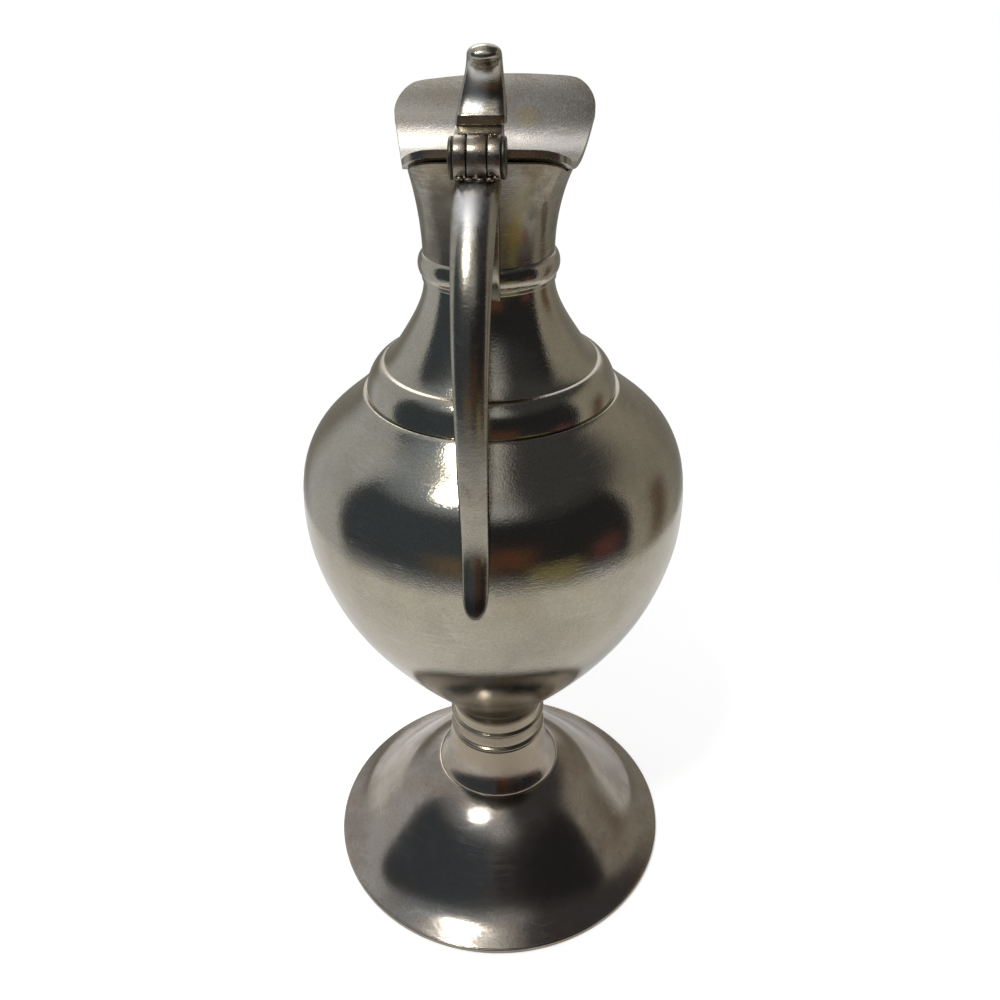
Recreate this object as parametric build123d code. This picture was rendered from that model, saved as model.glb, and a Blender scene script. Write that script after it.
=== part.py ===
from build123d import *
import math
import os

# A lidded creamer in cast and turned pewter. A round-bellied body stands on a knopped
# stem and a domed foot. A neck with a shoulder moulding carries a collar and a pouring
# mouth, whose rim dips at the sides like a saddle. A lid bent to the same saddle turns
# on a pin behind the mouth, and a scrolled handle runs from the hinge to the belly.
# Millimetres. The origin is the centre of the foot's base, +Z is up, the handle is on
# the -Y side and the pouring lip on the +Y side.

# Foot and its rim band
foot_radius = 41.0
foot_height = 22.4
foot_wall = 1.5
foot_top_radius = 14.8
rim_band_height = 1.5
rim_band_width = 2.2
foot_step = 0.35  # how far the dome's edge stands back from the band

# Knop and stem
knop_radius = 14.6
knop_height = 11.1
knop_neck_radius = 11.1
stem_height = 11.8
stem_radius = 10.6
stem_ridge_radius = 11.3
stem_ridge_height = 1.1
stem_flare_radius = 11.9

# Body, made of a bowl and a shoulder that meet at the belly
belly_radius = 39.25
bowl_height = 54.2
shoulder_height = 24.9
body_wall = 1.6
body_floor = 2.2
seam_radius = 24.9

# Neck with its shoulder moulding, and the collar over the joint to the mouth
neck_height = 21.8
neck_top_radius = 12.1
neck_wall = 1.5
moulding_height = 5.9
moulding_radius = 21.1  # at its top, where the cone starts
moulding_ledge = 0.4  # how far its foot stands back from the shoulder's edge
collar_height = 5.0
collar_bulge = 1.0
collar_lip = 0.35

# Mouth and lid
mouth_height = 13.8  # from the collar's top to the rim's lowest point
mouth_wall = 1.4
saddle_radius = 30.6  # of the lid's upper face, about an axis across the object
saddle_offset = 2.5  # of that axis, towards the lip
lid_thickness = 1.05
lid_overhang = 0.9
lid_gap = 0.45
lid_edge_fillet = 0.3
lid_front_reach = 25.7
lid_rear_reach = 14.3
lid_front_width = 40.4
lid_middle_width = 32.6
lid_rear_width = 27.2
lid_front_bow = 1.3
lid_rear_bow = 0.6
lid_front_corner = 5.0
lid_rear_corner = 6.0
mouth_flare = 2.0  # at the back and sides: 1 is straight-sided, more is hollow
lip_flare = 1.6  # the same at the lip

# Hinge
barrel_radius = 3.6
barrel_setback = 0.9  # from the lid's rear edge to the barrel
barrel_drop = 0.4  # of the pin below the lid's rear edge
knuckle_width = 3.1
outer_knuckle_width = 2.0
knuckle_gap = 0.1
barrel_clearance = 0.25
pin_radius = 1.2
pin_clearance = 0.05
cap_radius = 3.25
cap_thickness = 0.85
cap_fillet = 0.4

# Strap on the lid, and the thumbpiece on the strap
strap_thickness = 0.9  # above the barrel's middle knuckle
strap_width = 8.1
strap_seat_length = 4.8
strap_tongue_length = 6.0
thumb_height = 11.9
thumb_nose_width = 5.2
thumb_plinth = 1.6

# Handle and the bracket that ties it to the mouth
handle_root_width = 7.7
handle_grip_width = 5.3
handle_tail_width = 4.7
handle_tip_width = 1.8
handle_root_depth = 6.0
handle_grip_depth = 4.1
handle_tail_depth = 3.6
handle_tip_depth = 1.4
handle_root_drop = 5.0  # of the handle's middle below the pin
handle_bite = 0.35  # how deep the belly's curve is cut into the handle
handle_tail_length = 9.4
bracket_width = 5.8
bracket_tip_width = 2.2
bracket_stand_off = 2.7
bracket_length = 26.0
bracket_top_drop = 2.2  # of the bracket's top below the pin
bracket_relief = 0.3  # of the groove that clears the collar's upper edge

# Levels, stacked from the foot upwards
knop_level = foot_height
stem_level = knop_level + knop_height
body_level = stem_level + stem_height
belly_level = body_level + bowl_height
seam_level = belly_level + shoulder_height
neck_top_level = seam_level + neck_height
collar_top_level = neck_top_level + collar_height
rim_low_level = collar_top_level + mouth_height
joint_level = neck_top_level + collar_height / 2
rim_saddle_radius = saddle_radius + lid_thickness + lid_gap
saddle_level = rim_low_level + rim_saddle_radius
neck_spigot_radius = neck_top_radius - 0.1
neck_bore_radius = neck_top_radius - neck_wall


def at(radius, level):
    return (radius, 0, level)


def turned(edges):
    return revolve(make_face(edges), Axis.Z)


def filled(*edges):
    # a solid turned from edges that run from its underside to its top
    low, high = (edges[0] @ 0).Z, (edges[-1] @ 1).Z
    return turned(
        [
            *edges,
            Line(edges[-1] @ 1, at(0, high)),
            Line(at(0, high), at(0, low)),
            Line(at(0, low), edges[0] @ 0),
        ]
    )


def inward(curve, wall, count=7):
    # the same curve moved towards the inside by the wall, listed from its end to its start
    points = []
    for step in range(count):
        place = step / (count - 1)
        point = curve @ place
        along = curve % place
        points.append((point.X - along.Z * wall, 0, point.Z + along.X * wall))
    return list(reversed(points))


def saddle_height(y, radius):
    # height of a saddle surface above the base, at a distance y towards the lip
    return saddle_level - math.sqrt(radius**2 - (y - saddle_offset) ** 2)


def saddle_cylinder(radius):
    place = Plane((0, saddle_offset, saddle_level), z_dir=(1, 0, 0))
    return place * Cylinder(radius, 4 * lid_front_width)


def cross_cylinder(radius, low_x, high_x):
    # a cylinder on the pin's axis, between two places across the object
    place = Plane(((low_x + high_x) / 2, pin_y, pin_level), z_dir=(1, 0, 0))
    return place * Cylinder(radius, high_x - low_x)


def side_plate(edges, width):
    # a closed outline in the object's middle plane, thickened to both sides
    face = make_face(edges)
    return extrude(face, amount=width / 2, dir=(1, 0, 0), both=True)


def loop(points):
    return Polyline(*points, close=True).edges()


# The pin lies behind the lid's rear edge
lid_rear_level = saddle_height(-lid_rear_reach, saddle_radius)
pin_y = -lid_rear_reach - barrel_setback - barrel_radius
pin_level = lid_rear_level - barrel_drop
inner_knuckle = knuckle_width / 2
outer_knuckle_start = inner_knuckle + knuckle_gap
outer_knuckle_end = outer_knuckle_start + outer_knuckle_width


def foot_dome():
    edge_radius = foot_radius - foot_step
    rise = foot_height - rim_band_height
    spread = edge_radius - foot_top_radius
    shape = (
        (0, 0), (0.1, 0.06), (0.18, 0.115), (0.257, 0.187), (0.335, 0.282), (0.49, 0.493), (0.644, 0.703),
        (0.722, 0.794), (0.8, 0.868), (0.896, 0.943), (1, 1),
    )
    outer = Spline(
        *[at(edge_radius - spread * a, rim_band_height + rise * b) for a, b in shape],
        tangents=[(-1, 0, 0.42), (-1, 0, 0.3)],
    )
    inner_points = inward(outer, foot_wall)
    inner_points[0] = at(inner_points[0][0], foot_height - foot_wall)
    inner_points[-1] = at(edge_radius - foot_wall, rim_band_height)
    inner = Spline(*inner_points)
    return turned(
        [
            outer,
            Line(outer @ 1, at(0, foot_height)),
            Line(at(0, foot_height), at(0, foot_height - foot_wall)),
            Line(at(0, foot_height - foot_wall), inner_points[0]),
            inner,
            Line(inner_points[-1], outer @ 0),
        ]
    ) - Pos(0, 0, rim_band_height / 2) * Cylinder(foot_radius, rim_band_height)


def foot_rim():
    edge = rim_band_height / 5
    low = Polyline(
        at(foot_radius - rim_band_width, rim_band_height),
        at(foot_radius - rim_band_width, 0),
        at(foot_radius - edge, 0),
    )
    high = Line(
        at(foot_radius - edge, rim_band_height),
        at(foot_radius - rim_band_width, rim_band_height),
    )
    face = ThreePointArc(low @ 1, at(foot_radius, rim_band_height / 2), high @ 0)
    return turned([low, face, high])


def knop():
    low, high = knop_level, stem_level
    flare = knop_radius - knop_neck_radius
    shape = Spline(
        at(knop_radius, low),
        at(knop_neck_radius + flare * 0.83, low + knop_height * 0.17),
        at(knop_neck_radius + flare * 0.56, low + knop_height * 0.36),
        at(knop_neck_radius + flare * 0.31, low + knop_height * 0.57),
        at(knop_neck_radius + flare * 0.14, low + knop_height * 0.8),
        at(knop_neck_radius, high),
    )
    return filled(shape)


def stem():
    low, high = stem_level, body_level
    ridge_low = low + (stem_height - stem_ridge_height) * 0.42
    ridge_high = ridge_low + stem_ridge_height
    base_radius = knop_neck_radius + 0.25
    base_high = low + stem_ridge_height
    base = ThreePointArc(
        at(base_radius - 0.2, low), at(base_radius, low + stem_ridge_height / 2), at(stem_radius, base_high)
    )
    lower = Line(base @ 1, at(stem_radius, ridge_low))
    ridge = ThreePointArc(
        lower @ 1, at(stem_ridge_radius, (ridge_low + ridge_high) / 2), at(stem_radius, ridge_high)
    )
    upper = Spline(
        ridge @ 1,
        at(stem_radius, (ridge_high + high) / 2),
        at(stem_flare_radius, high),
        tangents=[(0, 0, 1), (0.55, 0, 1)],
    )
    return filled(base, lower, ridge, upper)


def bowl_curve():
    spread = belly_radius - stem_flare_radius
    shape = ((0.14, 0.1), (0.425, 0.28), (0.685, 0.475), (0.865, 0.66), (0.97, 0.84))
    return Spline(
        at(stem_flare_radius, body_level),
        *[at(stem_flare_radius + spread * a, body_level + bowl_height * b) for a, b in shape],
        at(belly_radius, belly_level),
        tangents=[(0.45, 0, 1), (0, 0, 1)],
    )


def body_bowl():
    outer = bowl_curve()
    inner_points = inward(outer, body_wall, 8)
    floor_level = body_level + body_floor
    kept = [p for p in inner_points if p[2] > floor_level + body_floor]
    inner = Spline(*kept, at(stem_flare_radius - body_wall / 2, floor_level))
    return turned(
        [
            outer,
            Line(outer @ 1, inner @ 0),
            inner,
            Line(inner @ 1, at(0, floor_level)),
            Line(at(0, floor_level), at(0, body_level)),
            Line(at(0, body_level), outer @ 0),
        ]
    )


def shoulder_curve():
    spread = belly_radius - seam_radius
    shape = ((0.065, 0.355), (0.23, 0.585), (0.43, 0.72), (0.7, 0.845))
    return Spline(
        at(belly_radius, belly_level),
        *[at(belly_radius - spread * a, belly_level + shoulder_height * b) for a, b in shape],
        at(seam_radius, seam_level),
        tangents=[(0, 0, 1), (-1, 0, 0.75)],
    )


def body_shoulder():
    outer = shoulder_curve()
    inner_points = inward(outer, body_wall)
    inner_points[0] = at(seam_radius - neck_wall - body_wall / 2, inner_points[0][2])
    inner = Spline(*inner_points)
    brim = Polyline(outer @ 1, at(inner_points[0][0], seam_level), inner_points[0])
    return turned([outer, brim, inner, Line(inner @ 1, outer @ 0)])


def neck_curve():
    moulding_top = seam_level + moulding_height
    rise = neck_top_level - moulding_top
    spread = moulding_radius - neck_top_radius
    shape = ((0, 0), (0.21, 0.135), (0.43, 0.29), (0.66, 0.475), (0.86, 0.68), (1, 1))
    return Spline(
        *[at(neck_top_radius + spread * (1 - a), moulding_top + rise * b) for a, b in shape],
        tangents=[(-1, 0, 0.9), (-0.06, 0, 1)],
    )


def neck_cone():
    moulding_top = seam_level + moulding_height
    cone = neck_curve()
    band_radius = seam_radius - moulding_ledge
    band = Spline(
        at(band_radius, seam_level),
        at(band_radius - (band_radius - moulding_radius) * 0.26, seam_level + moulding_height * 0.5),
        at(moulding_radius, moulding_top),
        tangents=[(0, 0, 1), (-1, 0, 0.6)],
    )
    spigot = Polyline(
        cone @ 1,
        at(neck_spigot_radius, neck_top_level),
        at(neck_spigot_radius, joint_level),
        at(neck_bore_radius, joint_level),
        at(neck_bore_radius, neck_top_level),
    )
    inner_points = inward(cone, neck_wall)[1:]
    inner_points[-1] = at(inner_points[-1][0], moulding_top - neck_wall)
    inner = Spline(spigot @ 1, *inner_points, tangents=[(0, 0, -1), (1, 0, -0.8)])
    foot_inner = seam_radius - neck_wall - body_wall / 2
    skirt = Line(inner @ 1, at(foot_inner, seam_level))
    return turned([band, cone, spigot, inner, skirt, Line(skirt @ 1, band @ 0)])


def collar_ring(inner_radius=neck_spigot_radius):
    low, high = neck_top_level, collar_top_level
    outer_low = neck_top_radius + collar_lip
    fillet_high = low + collar_height * 0.18
    middle = (fillet_high + high) / 2
    outline = [
        Line(at(inner_radius, low), at(outer_low, low)),
        Line(at(outer_low, low), at(outer_low, fillet_high)),
        ThreePointArc(
            at(outer_low, fillet_high),
            at(neck_top_radius + collar_bulge, middle),
            at(neck_top_radius, high),
        ),
        Line(at(neck_top_radius, high), at(inner_radius, high)),
        Line(at(inner_radius, high), at(inner_radius, low)),
    ]
    return turned(outline)


def lid_outline(inset):
    # seen from above: a rounded shape, broad at the lip, with its sides bowed inwards
    front = lid_front_reach
    rear = -lid_rear_reach
    front_corner = (lid_front_width / 2, front - lid_front_bow)
    rear_corner = (lid_rear_width / 2, rear + lid_rear_bow)
    middle = (lid_middle_width / 2, (front + rear) / 2)
    edges = [
        ThreePointArc((-rear_corner[0], rear_corner[1]), (0, rear), rear_corner),
        ThreePointArc(rear_corner, middle, front_corner),
        ThreePointArc(front_corner, (0, front), (-front_corner[0], front_corner[1])),
        ThreePointArc(
            (-front_corner[0], front_corner[1]), (-middle[0], middle[1]), (-rear_corner[0], rear_corner[1])
        ),
    ]
    face = make_face(edges)
    front_corners = face.vertices().sort_by(Axis.Y)[-2:]
    face = fillet(front_corners, lid_front_corner)
    rear_corners = [v for v in face.vertices() if v.Y < rear + lid_rear_bow + 0.01]
    face = fillet(rear_corners, lid_rear_corner)
    return offset(face, -inset) if inset else face


def mouth_sections(wall):
    # level cuts through the mouth: round at the collar and shaped like the lid at the rim
    rim = lid_outline(lid_overhang).faces()[0].outer_wire()
    count = 44
    rim_points = [rim @ (k / count) for k in range(count)]
    top_level = saddle_height(lid_front_reach, rim_saddle_radius) + 2 * lid_thickness
    rise = top_level - collar_top_level
    sections = []
    for part in (0, 0.15, 0.35, 0.55, 0.7, 0.87, 1):
        level = collar_top_level + rise * part
        points = []
        for p in rim_points:
            rim_rise = saddle_height(p.Y, rim_saddle_radius) - collar_top_level
            reach = math.hypot(p.X, p.Y) - neck_top_radius
            angle = math.atan2(p.Y, p.X)
            flare = mouth_flare + (lip_flare - mouth_flare) * max(0, math.sin(angle)) ** 2
            share = min(1, (level - collar_top_level) / rim_rise)
            radius = neck_top_radius + reach * share**flare
            points.append(((radius - wall) * math.cos(angle), (radius - wall) * math.sin(angle), level))
        sections.append(make_face(Spline(*points, periodic=True)))
    return sections


def mouth_blank():
    return loft(mouth_sections(0))


def mouth():
    spigot_height = collar_top_level - joint_level + 0.2
    spigot = Pos(0, 0, joint_level + spigot_height / 2) * Cylinder(neck_spigot_radius, spigot_height)
    bore = Pos(0, 0, joint_level) * Cylinder(neck_bore_radius, 2 * spigot_height)
    shell = mouth_blank() - saddle_cylinder(rim_saddle_radius) + spigot
    return shell - loft(mouth_sections(mouth_wall)) - bore


def lid():
    outline = lid_outline(0)
    height = saddle_level - seam_level
    blank = extrude(Pos(0, 0, seam_level) * outline, height)
    plate = blank & (saddle_cylinder(saddle_radius + lid_thickness) - saddle_cylinder(saddle_radius))
    return fillet(plate.edges().filter_by(lambda e: e.length > lid_rear_corner / 2), lid_edge_fillet)


def knuckle_cutter():
    # room for the barrel: the middle knuckle seats in it, the outer ones clear it
    half = handle_root_width
    middle = cross_cylinder(barrel_radius, -outer_knuckle_start, outer_knuckle_start)
    sides = cross_cylinder(barrel_radius + barrel_clearance, -half, -inner_knuckle)
    sides += cross_cylinder(barrel_radius + barrel_clearance, inner_knuckle, half)
    return middle + sides


def hinge_knuckle():
    ring = cross_cylinder(barrel_radius, -inner_knuckle, inner_knuckle)
    return ring - cross_cylinder(pin_radius + pin_clearance, -knuckle_width, knuckle_width)


def hinge_pin():
    return cross_cylinder(pin_radius, -outer_knuckle_end, outer_knuckle_end)


def hinge_cap(side):
    inner = side * outer_knuckle_end
    outer = side * (outer_knuckle_end + cap_thickness)
    cap = cross_cylinder(cap_radius, min(inner, outer), max(inner, outer))
    rim = cap.edges().sort_by(Axis.X)[-1 if side > 0 else 0]
    return fillet(rim, cap_fillet)


seat_level = pin_level + barrel_radius + strap_thickness - barrel_clearance
seat_rear = pin_y + barrel_radius * 0.7
seat_front = seat_rear + strap_seat_length


def hinge_strap():
    tongue_end = seat_front + strap_tongue_length
    tongue_level = saddle_height(tongue_end, saddle_radius)
    outline = loop(
        [
            (0, pin_y, pin_level + barrel_radius * 0.75),
            (0, seat_rear, seat_level),
            (0, seat_front, seat_level),
            (0, tongue_end, tongue_level + strap_thickness / 2),
            (0, tongue_end, tongue_level - lid_thickness),
            (0, pin_y, pin_level - lid_thickness),
        ]
    )
    plate = side_plate(outline, 2 * outer_knuckle_end) & saddle_cylinder(saddle_radius)
    rings = cross_cylinder(barrel_radius, -outer_knuckle_end, outer_knuckle_end)
    strap = plate + rings
    strap -= cross_cylinder(barrel_radius + barrel_clearance, -outer_knuckle_start, outer_knuckle_start)
    return strap - cross_cylinder(pin_radius, -strap_width, strap_width)


def thumbpiece():
    top = seat_level + thumb_height
    face_foot = seat_level + thumb_plinth
    face = Spline(
        (0, seat_rear, face_foot),
        (0, seat_rear + 1.6, face_foot + thumb_height * 0.2),
        (0, seat_rear + 1.7, face_foot + thumb_height * 0.4),
        (0, seat_rear + 0.3, top - thumb_height * 0.27),
        tangents=[(0, 0.8, 1), (0, -1, 0.75)],
    )
    nose = Spline(
        face @ 1,
        (0, seat_rear - 2.3, top - thumb_height * 0.14),
        (0, seat_rear - 0.3, top),
        (0, seat_rear + 3.0, top - thumb_height * 0.16),
        (0, seat_front - 0.4, top - thumb_height * 0.5),
        (0, seat_front, seat_level),
    )
    foot_rear = (0, seat_rear, seat_level)
    outline = [Line(foot_rear, face @ 0), face, nose, Line(nose @ 1, foot_rear)]
    blank = side_plate(outline, 2 * strap_width)
    low = strap_width / 2
    high = thumb_nose_width / 2
    waist = face_foot + thumb_height * 0.28
    shoulder = top - high
    left = Spline((-low, 0, face_foot), (-low * 0.86, 0, waist), (-high, 0, shoulder))
    cap = ThreePointArc((-high, 0, shoulder), (0, 0, top + 0.1), (high, 0, shoulder))
    right = Spline((high, 0, shoulder), (low * 0.86, 0, waist), (low, 0, face_foot))
    foot = Polyline((low, 0, face_foot), (low, 0, seat_level), (-low, 0, seat_level), (-low, 0, face_foot))
    front = extrude(make_face([left, cap, right, foot]), amount=4 * strap_width, dir=(0, 1, 0), both=True)
    return blank & front


def belly_at(level):
    # outer radius of the shoulder at a level
    curve = shoulder_curve()
    best = min((curve @ (k / 60) for k in range(61)), key=lambda p: abs(p.Z - level))
    return best.X


def handle_path():
    root_y = -neck_top_radius - bracket_stand_off - (lid_rear_reach - lid_overhang - neck_top_radius)
    root_level = pin_level - handle_root_drop
    touch_level = belly_level + shoulder_height * 0.4
    touch_y = -belly_at(touch_level) - handle_tail_depth / 2 + handle_bite
    drop = root_level - touch_level
    reach = touch_y - root_y
    upper = ((0.25, 0.015), (0.5, 0.075), (0.755, 0.19), (0.94, 0.35))
    lower = ((1.01, 0.51), (1.015, 0.69), (0.99, 0.85))
    tail_low = touch_level - handle_tail_length
    return Spline(
        (0, root_y, root_level),
        *[(0, root_y + reach * a, root_level - drop * b) for a, b in upper + lower],
        (0, touch_y, touch_level),
        (0, touch_y - handle_tail_length * 0.2, touch_level - handle_tail_length * 0.55),
        (0, touch_y - handle_tail_length * 0.5, tail_low),
        tangents=[(0, -1, 0), (0, -0.8, -1)],
    )


def handle():
    path = handle_path()
    tip_start = 0.965
    stations = (0, 0.07, 0.16, 0.27, 0.4, 0.54, 0.68, 0.8, 0.9, tip_start, 0.988, 1)
    sections = []
    for place in stations:
        if place < 0.54:
            share = place / 0.54
            share = share * (2 - share)
            width = handle_root_width + (handle_grip_width - handle_root_width) * share
            depth = handle_root_depth + (handle_grip_depth - handle_root_depth) * share
        else:
            share = (place - 0.54) / 0.46
            width = handle_grip_width + (handle_tail_width - handle_grip_width) * share
            depth = handle_grip_depth + (handle_tail_depth - handle_grip_depth) * share
        if place > tip_start:
            share = (place - tip_start) / (1 - tip_start)
            width -= (handle_tail_width - handle_tip_width) * share**2
            depth -= (handle_tail_depth - handle_tip_depth) * share**2
        plane = Plane(path @ place, x_dir=(1, 0, 0), z_dir=path % place)
        sections.append(plane * Ellipse(width / 2, depth / 2))
    bar = loft(sections)
    return bar - filled(shoulder_curve()) - knuckle_cutter()


def handle_bracket():
    root_y = (handle_path() @ 0).Y
    high = pin_level - bracket_top_drop
    low = pin_level - bracket_length
    neck_y = -neck_top_radius
    rear = Spline(
        (0, root_y, pin_level - handle_root_drop - handle_root_depth),
        (0, (root_y + neck_y) / 2 - collar_bulge, neck_top_level + collar_height / 2),
        (0, neck_y - collar_lip, low),
        tangents=[(0, 0, -1), (0, 0.6, -1)],
    )
    outline = [
        Line((0, 0, high), (0, root_y, high)),
        Line((0, root_y, high), rear @ 0),
        rear,
        Line(rear @ 1, (0, 0, low)),
        Line((0, 0, low), (0, 0, high)),
    ]
    web = side_plate(outline, bracket_width)
    half, tip = bracket_width / 2, bracket_tip_width / 2
    shoulder = neck_top_level + collar_height / 3
    tongue = loop(
        [
            (half, 0, high),
            (half, 0, shoulder),
            (tip, 0, low),
            (-tip, 0, low),
            (-half, 0, shoulder),
            (-half, 0, high),
        ]
    )
    web &= extrude(make_face(tongue), amount=4 * neck_top_radius, dir=(0, -1, 0))
    neck = filled(neck_curve())
    relief = Pos(0, 0, collar_top_level) * Cylinder(neck_top_radius + bracket_relief, 2 * bracket_relief)
    return web - mouth_blank() - relief - collar_ring(0) - neck - knuckle_cutter()


parts = {
    "foot_dome": foot_dome,
    "foot_rim_band": foot_rim,
    "knop": knop,
    "stem_spool": stem,
    "body_bowl": body_bowl,
    "body_shoulder": body_shoulder,
    "neck_cone": neck_cone,
    "neck_collar": collar_ring,
    "mouth": mouth,
    "handle": handle,
    "handle_bracket": handle_bracket,
    "hinge_knuckle": hinge_knuckle,
    "hinge_pin": hinge_pin,
    "hinge_cap_left": lambda: hinge_cap(-1),
    "hinge_cap_right": lambda: hinge_cap(1),
    "lid": lid,
    "lid_hinge_strap": hinge_strap,
    "thumbpiece": thumbpiece,
}

os.makedirs("parts", exist_ok=True)
for name, make in parts.items():
    shape = make()
    export_step(shape, f"parts/{name}.step")
    print(name, round(shape.volume, 1), [round(v, 2) for v in shape.bounding_box().size])
print("pin", round(pin_y, 3), round(pin_level, 3), "rim low", rim_low_level, "saddle", saddle_level)
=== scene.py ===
import bpy
import bmesh
import math
from mathutils import Matrix, Vector


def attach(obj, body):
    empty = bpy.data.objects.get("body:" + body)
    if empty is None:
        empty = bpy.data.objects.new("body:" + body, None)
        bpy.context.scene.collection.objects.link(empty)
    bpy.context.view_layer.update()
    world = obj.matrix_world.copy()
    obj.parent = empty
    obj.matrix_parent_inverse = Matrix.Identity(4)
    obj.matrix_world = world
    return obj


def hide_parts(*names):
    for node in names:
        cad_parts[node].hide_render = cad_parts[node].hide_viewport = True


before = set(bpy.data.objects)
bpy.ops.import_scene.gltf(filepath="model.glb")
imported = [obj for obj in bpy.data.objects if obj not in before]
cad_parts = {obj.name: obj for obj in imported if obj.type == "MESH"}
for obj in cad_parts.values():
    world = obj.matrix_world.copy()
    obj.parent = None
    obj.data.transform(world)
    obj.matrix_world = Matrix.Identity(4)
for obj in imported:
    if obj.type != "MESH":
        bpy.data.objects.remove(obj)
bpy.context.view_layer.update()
mm = 0.001
scene = bpy.context.scene
scene.view_settings.view_transform = "Standard"


# ---- camera: close, above and behind the handle ----

cameraView = {
    "focal": 957.4,  # in pixels of the 1000 pixel frame
    "pitch": 31.743,
    "roll": -1.105,
    "turn": 4.3,
    "distance": 172.77,  # from the pot's axis, level
    "height": 204.08,
    "shift": 0.00645,
}


def makeCamera(view):
    pitch, roll = math.radians(view["pitch"]), math.radians(view["roll"])
    right = Vector((1, 0, 0))
    up = Vector((0, math.sin(pitch), math.cos(pitch)))
    back = Vector((0, -math.cos(pitch), math.sin(pitch)))
    rolledRight = right * math.cos(roll) + up * math.sin(roll)
    rolledUp = up * math.cos(roll) - right * math.sin(roll)
    turn = Matrix.Rotation(math.radians(view["turn"]), 3, "Z")
    place = turn @ Vector((0, -view["distance"], view["height"])) * mm
    facing = turn @ Matrix((rolledRight, rolledUp, back)).transposed()
    data = bpy.data.cameras.new("photoCamera")
    data.sensor_width = 36
    data.lens = view["focal"] / 1000 * data.sensor_width
    data.shift_x = view["shift"]
    data.clip_start, data.clip_end = 0.01, 50
    camera = bpy.data.objects.new("photoCamera", data)
    camera.matrix_world = Matrix.Translation(place) @ facing.to_4x4()
    scene.collection.objects.link(camera)
    scene.camera = camera


makeCamera(cameraView)
print("camera set")


# ---- metal ----


def addNode(tree, kind, place, **values):
    node = tree.nodes.new(kind)
    node.location = place
    for key, value in values.items():
        if key in node.inputs:
            node.inputs[key].default_value = value
        else:
            setattr(node, key, value)
    return node


def feed(tree, socket, value):
    # a value is linked where it comes from a node, and set where it is plain
    if isinstance(value, bpy.types.NodeSocket):
        tree.links.new(value, socket)
    else:
        socket.default_value = value


def reckon(tree, place, operation, *values):
    node = addNode(tree, "ShaderNodeMath", place, operation=operation)
    for socket, value in zip(node.inputs, values):
        feed(tree, socket, value)
    return node.outputs[0]


def fade(tree, place, value, low, high, before=0.0, after=1.0):
    node = addNode(tree, "ShaderNodeMapRange", place, interpolation_type="SMOOTHSTEP")
    names = ("Value", "From Min", "From Max", "To Min", "To Max")
    for name, given in zip(names, (value, low, high, before, after)):
        feed(tree, node.inputs[name], given)
    return node.outputs["Result"]


def blendColour(tree, place, share, under, over, way="MIX"):
    node = addNode(tree, "ShaderNodeMix", place, data_type="RGBA", blend_type=way)
    for slot, given in ((0, share), (6, under), (7, over)):
        feed(tree, node.inputs[slot], given)
    return node.outputs[2]


def startGroup(name, inputs, outputs):
    group = bpy.data.node_groups.new(name, "ShaderNodeTree")
    kinds = {"number": "NodeSocketFloat", "colour": "NodeSocketColor", "place": "NodeSocketVector"}
    for label, kind in inputs:
        group.interface.new_socket(label, in_out="INPUT", socket_type=kinds[kind])
    for label, kind in outputs:
        group.interface.new_socket(label, in_out="OUTPUT", socket_type=kinds[kind])
    given = addNode(group, "NodeGroupInput", (-1700, 0))
    out = addNode(group, "NodeGroupOutput", (1500, 0))
    return group, given.outputs, out.inputs


def millimetres(tree, place):
    spot = addNode(tree, "ShaderNodeTexCoord", place)
    scaled = addNode(tree, "ShaderNodeVectorMath", (place[0] + 180, place[1]), operation="SCALE")
    scaled.inputs["Scale"].default_value = 1000
    tree.links.new(spot.outputs["Object"], scaled.inputs[0])
    return scaled.outputs[0]


def cloud(tree, place, where, stretch, detail=3.0, turn=(0, 0, 0), move=(0, 0, 0)):
    mapped = addNode(tree, "ShaderNodeMapping", place)
    mapped.inputs["Location"].default_value = move
    mapped.inputs["Rotation"].default_value = [math.radians(a) for a in turn]
    mapped.inputs["Scale"].default_value = stretch
    texture = addNode(tree, "ShaderNodeTexNoise", (place[0] + 200, place[1]), Scale=1.0, Detail=detail)
    texture.inputs["Roughness"].default_value = 0.6
    tree.links.new(where, mapped.inputs["Vector"])
    tree.links.new(mapped.outputs[0], texture.inputs["Vector"])
    return texture.outputs["Fac"]


wear = {
    # where each cloud starts and ends to show
    "dullEdge": (0.42, 0.66),
    "warmEdge": (0.47, 0.7),
    "speckEdge": (0.6, 0.72),
    "scratchedEdge": (0.45, 0.7),
    "scratchWidth": (0.003, 0.02),
    "scratchStretch": (0.035, 0.05, 0.5),
    "scratchWays": [  # how each set of scratches is turned and moved
        ((8, 5, 0), (3, 1, 5)),
        ((48, 22, 30), (9, 4, 2)),
        ((-38, 50, 75), (1, 8, 6)),
    ],
    "speckColour": (0.06, 0.05, 0.04, 1),
    "scratchColour": (0.75, 0.74, 0.7, 1),
    "scratchShow": 0.35,
    "grainShade": (0.88, 1.1),
    # roughness that each adds
    "speckRough": 0.2,
    "scratchRough": 0.15,
    "grainRough": 0.08,
    # height against the grain's
    "scratchDepth": 0.6,
    "speckHeight": 0.8,
    "grainHeight": 0.00002,
}


def scratchLines(group, where):
    lines = None
    for k, (turn, move) in enumerate(wear["scratchWays"]):
        row = -1300 - 320 * k
        cut = cloud(group, (-1100, row), where, wear["scratchStretch"], 1.0, turn=turn, move=move)
        away = reckon(group, (-600, row), "ABSOLUTE", reckon(group, (-750, row), "SUBTRACT", cut, 0.5))
        fine = fade(group, (-450, row), away, *wear["scratchWidth"], 1.0, 0.0)
        lines = fine if lines is None else reckon(group, (-280, row), "MAXIMUM", lines, fine)
    return lines


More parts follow.
